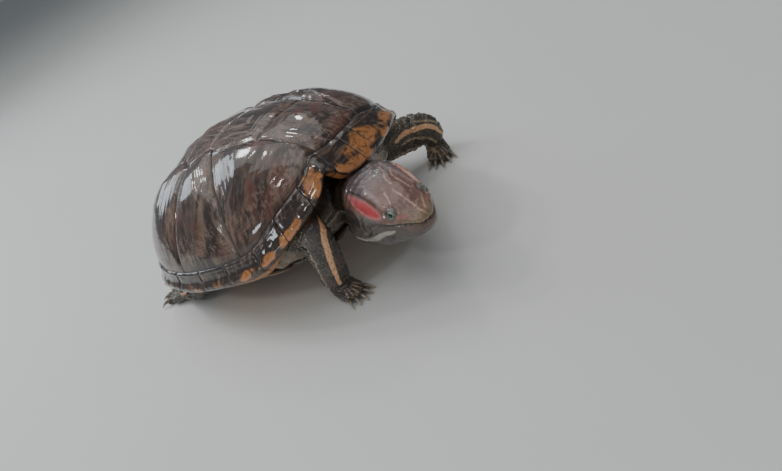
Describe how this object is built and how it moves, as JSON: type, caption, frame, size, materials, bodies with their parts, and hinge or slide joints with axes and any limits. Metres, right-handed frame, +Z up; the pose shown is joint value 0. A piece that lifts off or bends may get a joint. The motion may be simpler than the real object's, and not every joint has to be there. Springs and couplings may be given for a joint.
{
  "type": "red-eared slider turtle",
  "caption": "Life-size still model of a young red-eared slider turtle standing with its front raised, head drawn in and turned down.",
  "frame": {"origin": "on the ground, under the middle of the whole animal's box", "axes": "+X forward, the way the shell points; +Y to the animal's left; +Z up from the ground"},
  "size_m": [0.1358, 0.0972, 0.0525],
  "materials": {
    "carapace": "wet horn, very dark olive brown with paler ridges",
    "margin": "wet horn, dark with an orange blotch on each plate",
    "plastron": "horn, dull yellow with a dark blotch on each plate",
    "skin": "wet scaly skin, dark olive grey with pale yellow stripes",
    "head_skin": "smooth wet skin, grey brown with a red patch behind each eye",
    "eye": "wet, green iris and dark pupil"
  },
  "bodies": {
    "root": {"vertebral_1": "carapace", "vertebral_2": "carapace", "vertebral_3": "carapace", "vertebral_4": "carapace", "vertebral_5": "carapace", "costal_left_1": "carapace", "costal_left_2": "carapace", "costal_left_3": "carapace", "costal_left_4": "carapace", "marginal_left_1": "margin", "marginal_left_2": "margin", "marginal_left_3": "margin", "marginal_left_4": "margin", "marginal_left_5": "margin", "marginal_left_6": "margin", "marginal_left_7": "margin", "marginal_left_8": "margin", "marginal_left_9": "margin", "marginal_left_10": "margin", "marginal_left_11": "margin", "marginal_left_12": "margin", "costal_right_1": "carapace", "costal_right_2": "carapace", "costal_right_3": "carapace", "costal_right_4": "carapace", "marginal_right_1": "margin", "marginal_right_2": "margin", "marginal_right_3": "margin", "marginal_right_4": "margin", "marginal_right_5": "margin", "marginal_right_6": "margin", "marginal_right_7": "margin", "marginal_right_8": "margin", "marginal_right_9": "margin", "marginal_right_10": "margin", "marginal_right_11": "margin", "marginal_right_12": "margin", "nuchal": "margin", "plastron_gular": "plastron", "plastron_humeral": "plastron", "plastron_pectoral": "plastron", "plastron_abdominal": "plastron", "plastron_femoral": "plastron", "plastron_anal": "plastron", "trunk": "skin", "neck": "skin", "tail": "skin", "head": "head_skin", "lower_jaw": "head_skin", "eye_left": "eye", "foreleg_left": "skin", "forefoot_left": "skin", "hindleg_left": "skin", "hindfoot_left": "skin", "eye_right": "eye", "foreleg_right": "skin", "forefoot_right": "skin", "hindleg_right": "skin", "hindfoot_right": "skin"}
  },
  "joints": []
}
